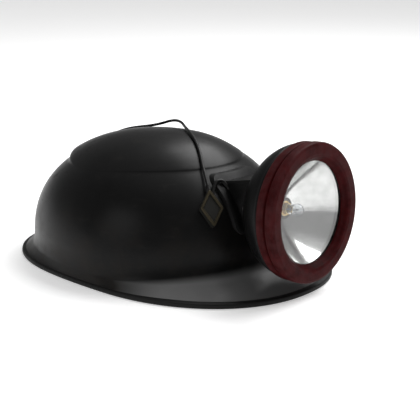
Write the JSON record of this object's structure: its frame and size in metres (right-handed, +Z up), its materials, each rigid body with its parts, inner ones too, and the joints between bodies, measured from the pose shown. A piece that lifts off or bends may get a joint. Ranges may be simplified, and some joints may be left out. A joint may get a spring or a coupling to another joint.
{
  "type": "miner's cap lamp",
  "caption": "Black miner's cap with a tilting round headlamp on its front, a cord from a diamond terminal over the crown, and a harness inside.",
  "frame": {"origin": "middle of the cap and lamp's box, at the surface that the brim stands on", "axes": "+Z up, the lamp faces -Y, the wearer's right side is -X"},
  "size_m": [0.2164, 0.3578, 0.1263],
  "materials": {
    "shell_plastic": "near-black moulded plastic, satin, scuffed",
    "edge_rubber": "matt black rubber edging",
    "bezel_red": "worn maroon enamel, lighter on the lip",
    "lens": "clear toughened glass",
    "seal_rubber": "soft black rubber",
    "reflector_chrome": "bright spun and plated",
    "bulb_glass": "clear glass",
    "brass": "turned brass",
    "tungsten": "drawn wire",
    "holder_plastic": "black phenolic",
    "housing_plastic": "near-black moulded plastic, satin",
    "steel": "plain steel",
    "bracket_plastic": "near-black moulded plastic",
    "terminal_metal": "worn olive-grey paint",
    "terminal_dark": "dark moulded cover",
    "cord_rubber": "black rubber sheath",
    "band_plastic": "dark grey polyethylene",
    "sweat_leather": "tan leatherette over foam",
    "webbing": "woven dark webbing",
    "pad_foam": "foam under black cloth"
  },
  "bodies": {
    "cap": {"shell": "shell_plastic", "brim_trim": "edge_rubber", "lamp_bracket": "bracket_plastic", "bracket_plate": "steel", "bracket_screws": "steel", "tilt_pin": "steel", "tilt_nut": "steel", "terminal_box": "terminal_dark", "terminal_cover": "terminal_dark", "terminal_rim": "terminal_metal", "terminal_screws": "steel", "cord_gland": "cord_rubber", "feed_lead": "cord_rubber", "headband": "band_plastic", "sweatband": "sweat_leather", "band_keepers": "band_plastic", "strap_long": "webbing", "strap_cross": "webbing", "crown_pad": "pad_foam", "harness_keys": "band_plastic", "cord_clip": "steel", "clip_rivet": "steel", "cord_tube": "cord_rubber", "cord_coil": "cord_rubber", "cord_plug": "holder_plastic"},
    "lamp": {"lamp_housing": "housing_plastic", "reflector": "reflector_chrome", "bulb_glass": "bulb_glass", "bulb_cap": "brass", "bulb_filament": "tungsten", "bulb_holder": "holder_plastic", "bulb_contact": "brass", "switch_block": "holder_plastic", "supply_lead": "cord_rubber"},
    "lens_cell": {"lens_glass": "lens", "lens_gasket": "seal_rubber"},
    "bezel": {"bezel": "bezel_red"},
    "switch_knob": {"switch_knob": "holder_plastic"},
    "nape": {"nape_band": "band_plastic", "nape_buckle": "band_plastic", "nape_pad": "pad_foam"},
    "nape_knob": {"nape_knob": "band_plastic"}
  },
  "joints": [
    {"name": "lamp_tilt", "type": "hinge", "parent": "cap", "child": "lamp", "pos_m": [0, -0.09605, 0.0671], "axis": [-1, 0, 0], "range_deg": [-8, 9]},
    {"name": "lens_out", "type": "slide", "parent": "lamp", "child": "lens_cell", "axis": [0, -0.999, 0.0436], "range_m": [0, 0.0045]},
    {"name": "bezel_turn", "type": "hinge", "parent": "lens_cell", "child": "bezel", "pos_m": [0, -0.151, 0.0695], "axis": [0, -0.999, 0.0436], "range_deg": [0, 1080]},
    {"name": "switch_turn", "type": "hinge", "parent": "lamp", "child": "switch_knob", "pos_m": [0.0545, -0.12203, 0.06824], "axis": [1, 0, 0], "range_deg": [0, 90]},
    {"name": "nape_slide", "type": "slide", "parent": "cap", "child": "nape", "axis": [0, -1, 0], "range_m": [0, 0.015]},
    {"name": "nape_knob_turn", "type": "hinge", "parent": "nape", "child": "nape_knob", "pos_m": [0, 0.128, 0.023], "axis": [0, 1, 0], "range_deg": [0, 214.9]}
  ],
  "couplings": [
    {"joint": "lens_out", "follows": "bezel_turn", "m_per_rad": 0.00023873},
    {"joint": "nape_knob_turn", "follows": "nape_slide", "rad_per_m": 250}
  ]
}
